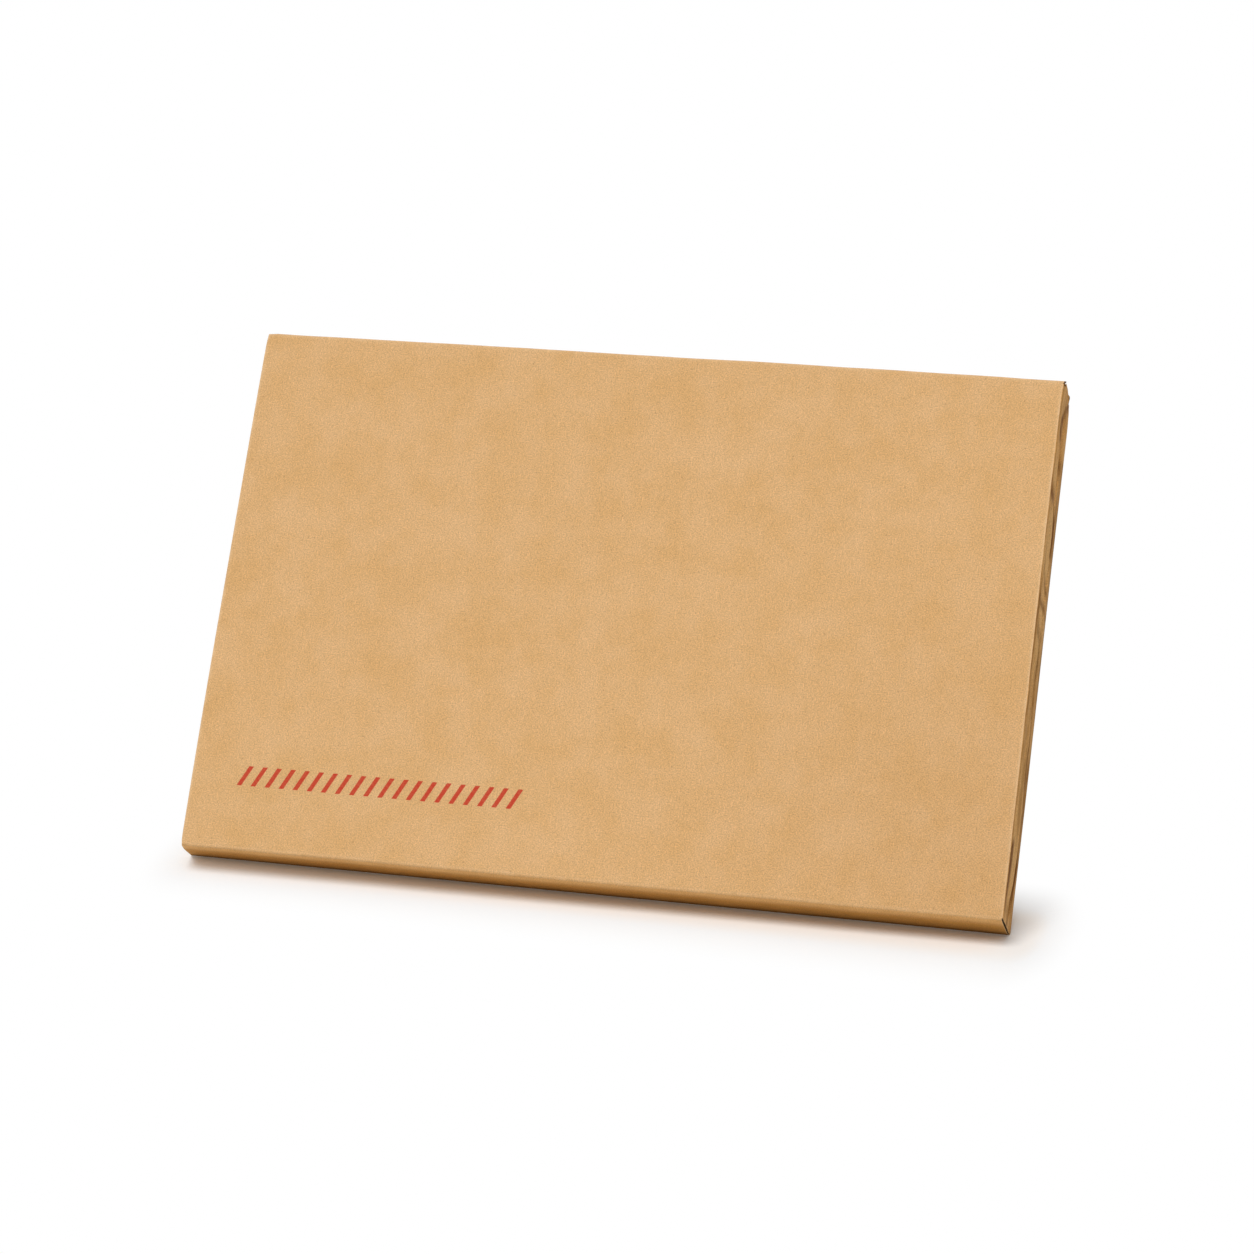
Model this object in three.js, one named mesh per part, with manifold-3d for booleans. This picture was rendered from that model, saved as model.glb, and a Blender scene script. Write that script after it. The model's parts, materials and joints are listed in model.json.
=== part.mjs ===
// Board-backed envelope: a kraft paper pocket with a stiff greyboard back and a peel-and-seal flap.
// Units are millimetres, +Z is up, +X runs along the long side, and the envelope leans back toward +Y.
import * as THREE from 'three';
import { mergeVertices } from 'three/addons/utils/BufferGeometryUtils.js';
import Module from 'manifold-3d';

const wasm = await Module();
wasm.setup();

// Driving dimensions of the closed envelope
const FRONT_LENGTH = 324; // long side of the front, just over that of the A4 sheets it holds
const FRONT_HEIGHT = 214; // short side of the front
const DEPTH = 22; // front face to the outer face of the seam flaps
const LEAN_DEGREES = 34; // how far the envelope leans back from the vertical
const CLOSED_END_FLARE = 3.5; // the closed end reaches this much further out at the back

// Sheet and board
const PAPER = 0.3;
const BOARD = 1;
const CREASE_GAP = 0.1; // between two panels of the sheet that meet at a crease
const LAYER_GAP = 0.1; // between layers that lie on each other
const BOARD_CLEARANCE = 0.5; // between the board's edges and the walls round it
const CORNER_RADIUS = 0.8; // of the front panel

// Seam flaps, gummed to the back of the board
const SEAM_WIDTH = 18;
const SEAM_MITRE_GAP = 1;
const SEAM_MOUTH_TAPER = 4; // how much the long seam flaps slope at the mouth
const GUM = 0.1;
const GUM_WIDTH = 9;
const GUM_END_INSET = 12;

// Mouth, at the right end
const TOP_WALL_MOUTH_INSET = 2.5; // the bottom wall reaches the end, the top wall only at its front
const TOP_WALL_MOUTH_REACH = 4.5; // depth over which it does
const TOP_WALL_MOUTH_SLANT = 3; // depth over which its end then slopes in
const BOARD_MOUTH_INSET = 2.5;
const SEAM_MOUTH_INSET = 0.4;

// Flap spine, which closes the mouth: two bands with a valley fold between them
const SPINE_FOOT_GAP = 0.8; // over the bottom wall
const SPINE_HEAD_INSET = 0.6; // at the front crease
const SPINE_HEAD_SLOPE = 1; // how much lower the front band's head is at the valley
const SPINE_HEAD_STEP = 0.6; // down from there to the back band's head
const SPINE_BACK_SLOPE = 2; // how much lower the back band's head is at the flap's crease
const SPINE_NOTCH_WIDTH = 2.4; // of the small notch in the head beside the front crease
const SPINE_NOTCH_DEPTH = 0.7;
const SPINE_SCORE_WIDTH = 2.2; // of the pressed line beside the front crease
const SPINE_SCORE_DEPTH = 0.4;
const VALLEY_PLACE = 14.5; // from the front face
const VALLEY_WIDTH = 2.6;
const VALLEY_DEPTH = 0.6;
const BACK_BAND_PROUD = 0.3; // the back band stands this much further out

// Seal flap
const FLAP_DEPTH = 38;
const FLAP_END_INSET = 5; // from each end of the spine, at the crease
const FLAP_SLOPE = 22; // how far each end slopes in by the free edge
const FLAP_TIP_RADIUS = 6;
const FLAP_CLEARANCE = 0.3; // between the liner and the seam flaps
const ADHESIVE = 0.1;
const ADHESIVE_WIDTH = 12;
const ADHESIVE_TIP_INSET = 5; // from the free edge
const ADHESIVE_END_INSET = 7; // from the ends of the free edge
const LINER = 0.1;
const LINER_OVERHANG = 2; // past each edge of the adhesive

// Places that follow from the sizes, in the envelope's own upright frame:
// x along its length, y from the front face to the back, z up from its bottom face
const right = FRONT_LENGTH / 2;
const left = -right;
const wallFront = PAPER + CREASE_GAP;
const seamFront = DEPTH - PAPER;
const wallBack = seamFront - CREASE_GAP;
const gumFront = seamFront - LAYER_GAP - GUM;
const boardBack = gumFront - LAYER_GAP;
const linerFront = DEPTH + FLAP_CLEARANCE;
const adhesiveFront = linerFront + LINER + LAYER_GAP;
const flapFront = adhesiveFront + ADHESIVE + LAYER_GAP;
const flareAt = (y) => (CLOSED_END_FLARE * y) / DEPTH;
const closedEndAt = (y) => left - flareAt(y);

function material(color, roughness) {
  return new THREE.MeshStandardMaterial({ color, roughness, metalness: 0 });
}
const kraft = material(0xdaae79, 0.85);
const kraftEdge = material(0xc79a66, 0.88);
const greyboard = material(0x9d948a, 0.92);
const gum = material(0xe6dcc2, 0.45);
const adhesive = material(0xf1ecdd, 0.3);
const linerPaper = material(0xf3f1ea, 0.38);

// A closed outline whose corners are [x, y] or [x, y, radius]
function outline(corners) {
  const shape = new THREE.Shape();
  corners.forEach(([x, y, radius = 0], i) => {
    const corner = new THREE.Vector2(x, y);
    const before = new THREE.Vector2(...corners.at(i - 1));
    const after = new THREE.Vector2(...corners[(i + 1) % corners.length]);
    const start = corner.clone().add(before.sub(corner).setLength(radius));
    const end = corner.clone().add(after.sub(corner).setLength(radius));
    if (i === 0) shape.moveTo(start.x, start.y);
    else shape.lineTo(start.x, start.y);
    if (radius > 0) shape.quadraticCurveTo(x, y, end.x, end.y);
  });
  shape.closePath();
  return shape;
}

function sheet(name, corners, thickness, look) {
  const geometry = new THREE.ExtrudeGeometry(outline(corners), {
    depth: thickness,
    bevelEnabled: false,
    curveSegments: 6,
  });
  const mesh = new THREE.Mesh(geometry, look);
  mesh.name = name;
  return mesh;
}

// A sheet parallel to the front, its corners in x and z, lying between frontY and frontY + thickness
function facePanel(name, corners, frontY, thickness, look) {
  const mesh = sheet(name, corners, thickness, look);
  mesh.rotation.x = Math.PI / 2;
  mesh.position.y = frontY + thickness;
  return mesh;
}

// A solid whose corners are in x and y, standing between lowZ and highZ
function uprightPanel(name, corners, lowZ, highZ, look) {
  const mesh = sheet(name, corners, highZ - lowZ, look);
  mesh.position.z = lowZ;
  return mesh;
}

// A sheet across the length, its corners in y and z, lying between lowX and lowX + thickness
function crossPanel(name, corners, lowX, thickness, look) {
  const mesh = sheet(name, corners, thickness, look);
  mesh.quaternion.setFromAxisAngle(new THREE.Vector3(1, 1, 1).normalize(), (2 * Math.PI) / 3);
  mesh.position.x = lowX;
  return mesh;
}

// The solid that two placed meshes share, as a new mesh
function solid(mesh) {
  mesh.updateMatrix();
  const geometry = mesh.geometry.clone().applyMatrix4(mesh.matrix);
  geometry.deleteAttribute('normal');
  geometry.deleteAttribute('uv');
  const merged = mergeVertices(geometry);
  const vertProperties = merged.attributes.position.array;
  const triVerts = Uint32Array.from(merged.index.array);
  return new wasm.Manifold(new wasm.Mesh({ numProp: 3, vertProperties, triVerts }));
}

function intersection(name, one, other, look) {
  const shared = solid(one).intersect(solid(other)).getMesh();
  const geometry = new THREE.BufferGeometry();
  geometry.setAttribute('position', new THREE.BufferAttribute(shared.vertProperties, 3));
  geometry.setIndex(new THREE.BufferAttribute(shared.triVerts, 1));
  geometry.computeVertexNormals();
  const mesh = new THREE.Mesh(geometry, look);
  mesh.name = name;
  return mesh;
}

function rectangle(lowX, highX, lowY, highY, radius = 0) {
  return [
    [lowX, lowY, radius],
    [highX, lowY, radius],
    [highX, highY, radius],
    [lowX, highY, radius],
  ];
}

// Pocket: the front panel and the three walls folded back from it
const frontPanel = facePanel(
  'front_panel',
  rectangle(left, right, 0, FRONT_HEIGHT, CORNER_RADIUS),
  0,
  PAPER,
  kraft
);

function longWall(name, lowZ, mouthEdge) {
  const corners = [
    [closedEndAt(wallFront), wallFront],
    ...mouthEdge,
    [closedEndAt(wallBack), wallBack],
  ];
  return uprightPanel(name, corners, lowZ, lowZ + PAPER, kraftEdge);
}
const bottomWall = longWall('bottom_wall', 0, [
  [right, wallFront],
  [right, wallBack],
]);
const topWall = longWall('top_wall', FRONT_HEIGHT - PAPER, [
  [right, wallFront],
  [right, TOP_WALL_MOUTH_REACH],
  [right - TOP_WALL_MOUTH_INSET, TOP_WALL_MOUTH_REACH + TOP_WALL_MOUTH_SLANT],
  [right - TOP_WALL_MOUTH_INSET, wallBack],
]);

const closedEndWall = uprightPanel(
  'closed_end_wall',
  [
    [closedEndAt(wallFront), wallFront],
    [closedEndAt(wallFront) + PAPER, wallFront],
    [closedEndAt(wallBack) + PAPER, wallBack],
    [closedEndAt(wallBack), wallBack],
  ],
  PAPER + CREASE_GAP,
  FRONT_HEIGHT - PAPER - CREASE_GAP,
  kraftEdge
);

// Backing board, inside the walls
const backingBoard = facePanel(
  'backing_board',
  rectangle(
    closedEndAt(boardBack - BOARD) + PAPER + BOARD_CLEARANCE,
    right - BOARD_MOUTH_INSET,
    PAPER + BOARD_CLEARANCE,
    FRONT_HEIGHT - PAPER - BOARD_CLEARANCE
  ),
  boardBack - BOARD,
  BOARD,
  greyboard
);

// Seam flaps, mitred where they meet at the closed end
const seamEnd = closedEndAt(seamFront);
const seamInner = seamEnd + SEAM_WIDTH;
const seamMouth = right - SEAM_MOUTH_INSET;
function longSeamCorners(edgeZ, inward) {
  return [
    [seamEnd + SEAM_MITRE_GAP, edgeZ],
    [seamMouth, edgeZ],
    [seamMouth - SEAM_MOUTH_TAPER, edgeZ + inward * SEAM_WIDTH, 2],
    [seamInner + SEAM_MITRE_GAP, edgeZ + inward * SEAM_WIDTH],
  ];
}
const bottomSeamFlap = facePanel('bottom_seam_flap', longSeamCorners(0, 1), seamFront, PAPER, kraft);
const topSeamFlap = facePanel(
  'top_seam_flap',
  longSeamCorners(FRONT_HEIGHT, -1),
  seamFront,
  PAPER,
  kraft
);
const closedEndSeamFlap = facePanel(
  'closed_end_seam_flap',
  [
    [seamEnd, SEAM_MITRE_GAP],
    [seamInner, SEAM_WIDTH + SEAM_MITRE_GAP],
    [seamInner, FRONT_HEIGHT - SEAM_WIDTH - SEAM_MITRE_GAP],
    [seamEnd, FRONT_HEIGHT - SEAM_MITRE_GAP],
  ],
  seamFront,
  PAPER,
  kraft
);

// Gum between the seam flaps and the board
const gumMargin = (SEAM_WIDTH - GUM_WIDTH) / 2;
const gumStart = seamEnd + SEAM_WIDTH + GUM_END_INSET;
const gumStop = seamMouth - SEAM_MOUTH_TAPER - GUM_END_INSET;
const bottomGumLine = facePanel(
  'bottom_gum_line',
  rectangle(gumStart, gumStop, gumMargin, gumMargin + GUM_WIDTH, 2),
  gumFront,
  GUM,
  gum
);
const topGumLine = facePanel(
  'top_gum_line',
  rectangle(gumStart, gumStop, FRONT_HEIGHT - gumMargin - GUM_WIDTH, FRONT_HEIGHT - gumMargin, 2),
  gumFront,
  GUM,
  gum
);
const closedEndGumLine = facePanel(
  'closed_end_gum_line',
  rectangle(
    seamEnd + gumMargin,
    seamEnd + gumMargin + GUM_WIDTH,
    SEAM_WIDTH + GUM_END_INSET,
    FRONT_HEIGHT - SEAM_WIDTH - GUM_END_INSET,
    2
  ),
  gumFront,
  GUM,
  gum
);

// Flap spine: the folded section, trimmed to the outline of its foot and head
const spineBack = flapFront - CREASE_GAP;
const spineFoot = PAPER + SPINE_FOOT_GAP;
const frontBandHead = FRONT_HEIGHT - SPINE_HEAD_INSET;
const valleyHead = frontBandHead - SPINE_HEAD_SLOPE;
const backBandHead = valleyHead - SPINE_HEAD_STEP;
const flapCreaseHead = backBandHead - SPINE_BACK_SLOPE;
const spineOuter = [
  [right, wallFront],
  [right - SPINE_SCORE_DEPTH, wallFront + SPINE_SCORE_WIDTH / 2],
  [right, wallFront + SPINE_SCORE_WIDTH],
  [right, VALLEY_PLACE - VALLEY_WIDTH / 2],
  [right - VALLEY_DEPTH, VALLEY_PLACE],
  [right + BACK_BAND_PROUD, VALLEY_PLACE + VALLEY_WIDTH / 2],
  [right + BACK_BAND_PROUD, spineBack],
];
const spineInner = spineOuter.map(([x, y]) => [x - PAPER, y]).reverse();
const spineFold = uprightPanel('fold', [...spineOuter, ...spineInner], spineFoot, FRONT_HEIGHT, kraftEdge);
const spineReach = 2 * DEPTH; // wider than the fold, so that only its foot and head are trimmed
const spineTrim = crossPanel(
  'trim',
  [
    [0, spineFoot],
    [spineBack, spineFoot],
    [spineBack, flapCreaseHead],
    [VALLEY_PLACE, backBandHead],
    [VALLEY_PLACE, valleyHead],
    [wallFront + SPINE_NOTCH_WIDTH, frontBandHead],
    [wallFront + SPINE_NOTCH_WIDTH, frontBandHead - SPINE_NOTCH_DEPTH],
    [0, frontBandHead - SPINE_NOTCH_DEPTH],
  ],
  right - spineReach / 2,
  spineReach,
  kraftEdge
);
const flapSpine = intersection('flap_spine', spineFold, spineTrim, kraftEdge);

// Seal flap with its adhesive and release liner
const flapCrease = right + BACK_BAND_PROUD;
const flapTip = flapCrease - FLAP_DEPTH;
const flapFoot = spineFoot + FLAP_END_INSET;
const flapHead = flapCreaseHead - FLAP_END_INSET;
const tipFoot = flapFoot + FLAP_SLOPE;
const tipHead = flapHead - FLAP_SLOPE;
const sealFlap = facePanel(
  'seal_flap',
  [
    [flapCrease, flapFoot],
    [flapCrease, flapHead],
    [flapTip, tipHead, FLAP_TIP_RADIUS],
    [flapTip, tipFoot, FLAP_TIP_RADIUS],
  ],
  flapFront,
  PAPER,
  kraft
);

// A strip along the adhesive's place on the flap, reaching past its edges by overhang
function strip(name, overhang, frontY, thickness, look) {
  const lowX = flapTip + ADHESIVE_TIP_INSET - overhang;
  const highX = flapTip + ADHESIVE_TIP_INSET + ADHESIVE_WIDTH + overhang;
  const lowZ = tipFoot + ADHESIVE_END_INSET - overhang;
  const highZ = tipHead - ADHESIVE_END_INSET + overhang;
  return facePanel(name, rectangle(lowX, highX, lowZ, highZ), frontY, thickness, look);
}
const adhesiveStrip = strip('adhesive_strip', 0, adhesiveFront, ADHESIVE, adhesive);
const releaseLiner = strip('release_liner', LINER_OVERHANG, linerFront, LINER, linerPaper);

// The upright envelope, then its lean: it rests on the back corner of its bottom face
const upright = new THREE.Group();
upright.add(
  frontPanel,
  bottomWall,
  topWall,
  closedEndWall,
  backingBoard,
  bottomSeamFlap,
  topSeamFlap,
  closedEndSeamFlap,
  bottomGumLine,
  topGumLine,
  closedEndGumLine,
  flapSpine,
  sealFlap,
  adhesiveStrip,
  releaseLiner
);

const lean = THREE.MathUtils.degToRad(LEAN_DEGREES);
const leaning = new THREE.Group();
leaning.rotation.x = -lean;
leaning.add(upright);

// The row's origin is under the middle of the leaning envelope
const group = new THREE.Group();
leaning.position.set(
  (flareAt(seamFront) - BACK_BAND_PROUD) / 2,
  -(DEPTH * Math.cos(lean) + FRONT_HEIGHT * Math.sin(lean)) / 2,
  DEPTH * Math.sin(lean)
);
group.add(leaning);

export default group;
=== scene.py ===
# %% [markdown]
# # A board-backed envelope
# A kraft sheet is folded round a stiff greyboard back into a shallow pocket. The right short end is the
# mouth: a creased spine closes it, and a flap folds from the spine over the back. Everything here is
# built round the engineering model, which is loaded first and gives every size and place.

# %% Load the engineering model
import json
import math

import bmesh
import bpy
from mathutils import Matrix, Vector, noise


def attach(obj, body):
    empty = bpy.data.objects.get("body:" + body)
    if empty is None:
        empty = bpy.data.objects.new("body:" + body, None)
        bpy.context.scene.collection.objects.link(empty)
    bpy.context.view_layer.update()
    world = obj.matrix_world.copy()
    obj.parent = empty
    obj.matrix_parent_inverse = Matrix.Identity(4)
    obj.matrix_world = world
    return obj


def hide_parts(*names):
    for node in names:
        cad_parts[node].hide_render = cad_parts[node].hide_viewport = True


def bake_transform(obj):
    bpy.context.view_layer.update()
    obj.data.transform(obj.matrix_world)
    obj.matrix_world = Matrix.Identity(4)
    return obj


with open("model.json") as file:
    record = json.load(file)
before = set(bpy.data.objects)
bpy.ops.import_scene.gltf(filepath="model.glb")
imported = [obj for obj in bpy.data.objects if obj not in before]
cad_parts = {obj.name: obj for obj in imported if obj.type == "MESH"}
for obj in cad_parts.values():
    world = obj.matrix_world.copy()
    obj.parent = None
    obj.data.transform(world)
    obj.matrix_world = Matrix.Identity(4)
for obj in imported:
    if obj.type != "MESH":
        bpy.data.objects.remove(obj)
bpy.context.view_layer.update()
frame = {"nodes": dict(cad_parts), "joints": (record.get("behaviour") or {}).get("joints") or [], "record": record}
MM = 0.001
print("nodes:", ", ".join(sorted(frame["nodes"])))

# %% [markdown]
# The envelope leans back, which makes its own directions awkward to work in. So each piece is modelled as
# if the envelope stood upright: x runs along it, y from the front face to the back and z up from its
# bottom face. One matrix then turns a finished mesh into its leaning place. The matrix comes from the
# front face's mount and the direction of the hinges, so it can't drift from the model.

# %% The upright frame
front_mount = next(m for m in frame["record"]["mounts"] if m["name"] == "front_face")
towards_back = -Vector(front_mount["axis"]).normalized()
towards_head = -Vector(frame["joints"][0]["axis"]).normalized()
along = towards_back.cross(towards_head)


def turn_about(origin):
    """The matrix that carries upright places to leaning ones, with the upright origin at that point."""
    turn = Matrix((along, towards_back, towards_head)).transposed()
    return Matrix.Translation(origin) @ turn.to_4x4()


def upright_box(node, to_row):
    """The lowest and highest corner of a node, measured in the upright frame."""
    places = [to_row.inverted() @ v.co for v in frame["nodes"][node].data.vertices]
    return Vector(map(min, *places)), Vector(map(max, *places))


from_middle = turn_about(Vector(front_mount["pos_m"]))
half_height = -upright_box("front_panel", from_middle)[0].z
TO_ROW = turn_about(Vector(front_mount["pos_m"]) - half_height * towards_head)
sizes = {name: upright_box(name, TO_ROW) for name in frame["nodes"]}
print("front face from", sizes["front_panel"][0], "to", sizes["front_panel"][1])

# %% [markdown]
# Sizes that more than one piece needs are read off the solids once, here. If the model changes, the paper
# follows. Only what the paper has and the solids haven't, such as how sharp a crease is, is a plain number.

# %% The sizes that the pieces share
LEFT, RIGHT = sizes["front_panel"][0].x, sizes["front_panel"][1].x
HEIGHT = sizes["front_panel"][1].z
PAPER = sizes["front_panel"][1].y
DEPTH = sizes["bottom_seam_flap"][1].y
WALL_BACK = sizes["bottom_wall"][1].y
FLARE = (LEFT - sizes["bottom_wall"][0].x) / WALL_BACK  # outward slope of the closed end
SPINE_FOOT, SPINE_HEAD = sizes["flap_spine"][0].z, sizes["flap_spine"][1].z
FLAP_CREASE = sizes["seal_flap"][1].x
FLAP_BACK = sizes["seal_flap"][1].y
SET_BACK = 0.8 * MM  # a rounded crease starts this far from the corner it rounds
MOUTH_SET_BACK = 0.35 * MM  # the creases of the mouth are pressed sharper
CELL = 2.5 * MM  # the size of a mesh's squares
print(f"sheet {PAPER / MM:.2f} mm, depth {DEPTH / MM:.1f} mm, flare {FLARE:.3f}")

# %% [markdown]
# The camera stands in front and to the right, a little above, with a long lens, so the envelope's far
# edges hardly shrink. It is placed from one corner: the place that the lower left corner of the front has
# in the camera's own directions fixes where the camera is.

# %% Camera
CAMERA_AZIMUTH = math.radians(14.2)
CAMERA_ELEVATION = math.radians(17.5)
LENS = 117.7
SENSOR = 36.0
CORNER_RIGHT, CORNER_UP, CORNER_AHEAD = -0.1744, -0.0852, 1.600  # seen from the camera, in metres

backward = Vector((
    math.sin(CAMERA_AZIMUTH) * math.cos(CAMERA_ELEVATION),
    -math.cos(CAMERA_AZIMUTH) * math.cos(CAMERA_ELEVATION),
    math.sin(CAMERA_ELEVATION),
))
rightward = Vector((math.cos(CAMERA_AZIMUTH), math.sin(CAMERA_AZIMUTH), 0))
upward = backward.cross(rightward)
corner = TO_ROW @ Vector((LEFT, 0, 0))
camera = bpy.data.objects.new("camera", bpy.data.cameras.new("camera"))
camera.data.lens = LENS
camera.data.sensor_width = SENSOR
camera.location = corner - CORNER_RIGHT * rightward - CORNER_UP * upward + CORNER_AHEAD * backward
camera.rotation_mode = "QUATERNION"
camera.rotation_quaternion = backward.to_track_quat("Z", "Y")
bpy.context.scene.collection.objects.link(camera)
bpy.context.scene.camera = camera
bpy.context.scene.view_settings.view_transform = "Standard"
print("camera at", camera.location)

# %% [markdown]
# A material is a small network of nodes. A few helpers keep the networks short. `add` makes a node, sets
# its options and fills or links its inputs. `maths` and `vector_maths` do one sum, `between` and `scaled`
# turn one range of numbers into another, and `blended` mixes two colours. `tone` turns a colour as read
# off a screen, from 0 to 255, into the linear numbers that a shader needs.

# %% Helpers for materials
def tone(red, green, blue):
    """A screen colour, 0 to 255, as linear numbers with full opacity."""
    shares = [channel / 255 for channel in (red, green, blue)]
    return (*[s / 12.92 if s <= 0.04045 else ((s + 0.055) / 1.055) ** 2.4 for s in shares], 1.0)


def fill(tree, node, inputs):
    """Gives a node's inputs plain values, or links them to the outputs of other nodes."""
    for name, value in inputs.items():
        if isinstance(value, bpy.types.NodeSocket):
            tree.links.new(value, node.inputs[name])
        else:
            node.inputs[name].default_value = value


def add(tree, kind, inputs=None, **options):
    """A new node, with its options set and its inputs filled."""
    node = tree.nodes.new("ShaderNode" + kind)
    for option, value in options.items():
        setattr(node, option, value)
    fill(tree, node, inputs or {})
    return node


def maths(tree, operation, *values, clamp=False):
    """The result of one Math node."""
    return add(tree, "Math", dict(enumerate(values)), operation=operation, use_clamp=clamp).outputs[0]


def vector_maths(tree, operation, *values):
    """The vector that one Vector Math node gives."""
    return add(tree, "VectorMath", dict(enumerate(values)), operation=operation).outputs[0]


def between(tree, value, low, high):
    """Zero below low, one above high, and a smooth rise from one to the other."""
    inputs = {"Value": value, "From Min": low, "From Max": high}
    return add(tree, "MapRange", inputs, interpolation_type="SMOOTHSTEP").outputs["Result"]


def scaled(tree, value, start, end, low=0.0, high=1.0):
    """A straight run from start, where the value is low, to end, where it is high."""
    inputs = {"Value": value, "From Min": low, "From Max": high, "To Min": start, "To Max": end}
    return add(tree, "MapRange", inputs).outputs["Result"]


def blended(tree, share, first, second):
    """Two colours mixed by a share."""
    return add(tree, "Mix", {0: share, 6: first, 7: second}, data_type="RGBA").outputs[2]


print("material helpers ready")

# %% [markdown]
# The envelope stands on a white sweep under one broad light, as in a small product studio. The world is
# the fill from all sides. It is brighter near the horizon, where the studio's white walls are, than
# overhead, so that some light gets in under the overhanging foot. To the camera it shows plain white.

# %% World
SKY_LIGHT, WALL_LIGHT = 0.26, 0.62


def seen_as_white(tree):
    """One for rays from the camera, in a mirror or through glass, and zero for the light that bounces."""
    seen = add(tree, "LightPath")
    share = maths(tree, "MAXIMUM", seen.outputs["Is Camera Ray"], seen.outputs["Is Glossy Ray"])
    return maths(tree, "MAXIMUM", share, seen.outputs["Is Transmission Ray"])


world = bpy.data.worlds.new("room")
bpy.context.scene.world = world
world.use_nodes = True
room = world.node_tree
height = add(room, "SeparateXYZ", {0: add(room, "TexCoord").outputs["Object"]}).outputs[2]
light = scaled(room, maths(room, "ABSOLUTE", height), WALL_LIGHT, SKY_LIGHT)
fill(room, room.nodes["Background"],
     {"Strength": scaled(room, seen_as_white(room), light, 1.0), "Color": (1, 1, 1, 1)})
print("world light", SKY_LIGHT, "overhead and", WALL_LIGHT, "at the horizon")

# %% [markdown]
# The floor is white card. It shows the camera a little more white than it throws back at the envelope,
# because a real sweep is small and loses some light. Product pictures are bleached to plain white away
# from the object, so the floor does the same: round the foot it is card that takes the shadow, and over a
# few centimetres a white veil covers it. The veil starts nearer to the foot at the left than at the
# right. Beside the foot the veil is faint and tinted warm: a painted glow that stands in for the light
# that the paper throws down into the shadow.

# %% Floor card
FLOOR_BOUNCE, FLOOR_WHITE = 0.7, 1.0
FOOT_MIDDLE = Vector((5 * MM, -45 * MM, 0))
FOOT_REACH = Vector((RIGHT, 6 * MM, 0))  # half of the floor that the foot shades
FIELD_TURN = 0.05  # radians that bring the veil nearer at the left
BLEACH_REACH = Vector((29 * MM, 62 * MM, 1))  # how far beyond the foot the floor is plain white
FULL_VEIL, PLAIN_VEIL = 0.85, 0.4  # where it covers all and where it is no longer warm, in shares of that
LEAST_VEIL = 0.045
# The warm tint is painted light, a glow that stands in for light thrown down by the paper
PAINTED_WARM_GLOW, WHITE = (1, 0.72, 0.42, 1), (1, 1, 1, 1)


def new_material(name):
    """An empty material, its node tree and its shader."""
    made = bpy.data.materials.new(name)
    made.use_nodes = True
    return made, made.node_tree, made.node_tree.nodes["Principled BSDF"]


floor_material, tree, shader = new_material("white_floor")
off = add(tree, "VectorRotate", {"Vector": add(tree, "TexCoord").outputs["Object"], "Center": FOOT_MIDDLE,
                                 "Angle": FIELD_TURN}, rotation_type="Z_AXIS").outputs[0]
for operation, *other in (("SUBTRACT", FOOT_MIDDLE), ("ABSOLUTE",), ("SUBTRACT", FOOT_REACH),
                          ("MAXIMUM", (0, 0, 0)), ("DIVIDE", BLEACH_REACH)):
    off = vector_maths(tree, operation, off, *other)
far = add(tree, "VectorMath", {0: off}, operation="LENGTH").outputs["Value"]
seen = seen_as_white(tree)
veil = scaled(tree, between(tree, far, 0.0, FULL_VEIL), LEAST_VEIL, 1.0)
bleached = maths(tree, "MULTIPLY", veil, seen)
white = scaled(tree, seen, FLOOR_BOUNCE, FLOOR_WHITE)
fill(tree, shader, {
    "Base Color": maths(tree, "MULTIPLY", white, maths(tree, "SUBTRACT", 1.0, bleached)),
    "Roughness": 1.0,
    "Specular IOR Level": 0.0,
    "Emission Color": blended(tree, between(tree, far, 0.0, PLAIN_VEIL), PAINTED_WARM_GLOW, WHITE),
    "Emission Strength": bleached,
})
print("floor card ready")

# %% Floor
FLOOR_SIZE = 24.0
bm = bmesh.new()
bmesh.ops.create_grid(bm, x_segments=1, y_segments=1, size=FLOOR_SIZE / 2)
floor = bpy.data.objects.new("floor", bpy.data.meshes.new("floor"))
bm.to_mesh(floor.data)
bm.free()
floor.data.materials.append(floor_material)
bpy.context.scene.collection.objects.link(floor)
print("floor", FLOOR_SIZE, "m square")

# %% [markdown]
# Paper shows its form only through soft shading. The broad light hangs high, towards the front and a
# touch to the left. It lights the leaning front evenly, leaves the mouth in shade, and keeps the shadow
# close under the overhanging foot. A sun lamp with a wide angle is used, because its light doesn't fall
# off over the floor.

# %% Overhead light
KEY_LIGHT = 0.575
KEY_FROM = (-0.16, -0.55, 1.0)
KEY_WIDTH = math.radians(32)
lamp = bpy.data.objects.new("overhead", bpy.data.lights.new("overhead", "SUN"))
lamp.data.energy = KEY_LIGHT * math.pi
lamp.data.angle = KEY_WIDTH
lamp.rotation_mode = "QUATERNION"
lamp.rotation_quaternion = Vector(KEY_FROM).to_track_quat("Z", "Y")
bpy.context.scene.collection.objects.link(lamp)
print("overhead light", KEY_LIGHT)

# %% [markdown]
# Kraft paper is unbleached, so no two square centimetres match: the pulp settles in pale and dark clouds,
# the fibres lie every way, and a few specks of bark stay in. Folds rub pale. All of it is one group of
# patterns that read `place`, a vector stored on each vertex before the sheet is handled or opened, so
# that the pattern stays on the paper when a crease bends.

# %% Patterns that stay on the paper
def stored_place(tree):
    """Where a point of the sheet lay before it settled or was opened."""
    return add(tree, "Attribute", attribute_name="place").outputs["Vector"]


def cloudy(tree, where, scale, detail=2.0, rough=0.5, seed=0.0):
    """Soft noise about one half."""
    inputs = {"Vector": where, "W": seed, "Scale": scale, "Detail": detail, "Roughness": rough}
    return add(tree, "TexNoise", inputs, noise_dimensions="4D").outputs["Fac"]


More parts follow.
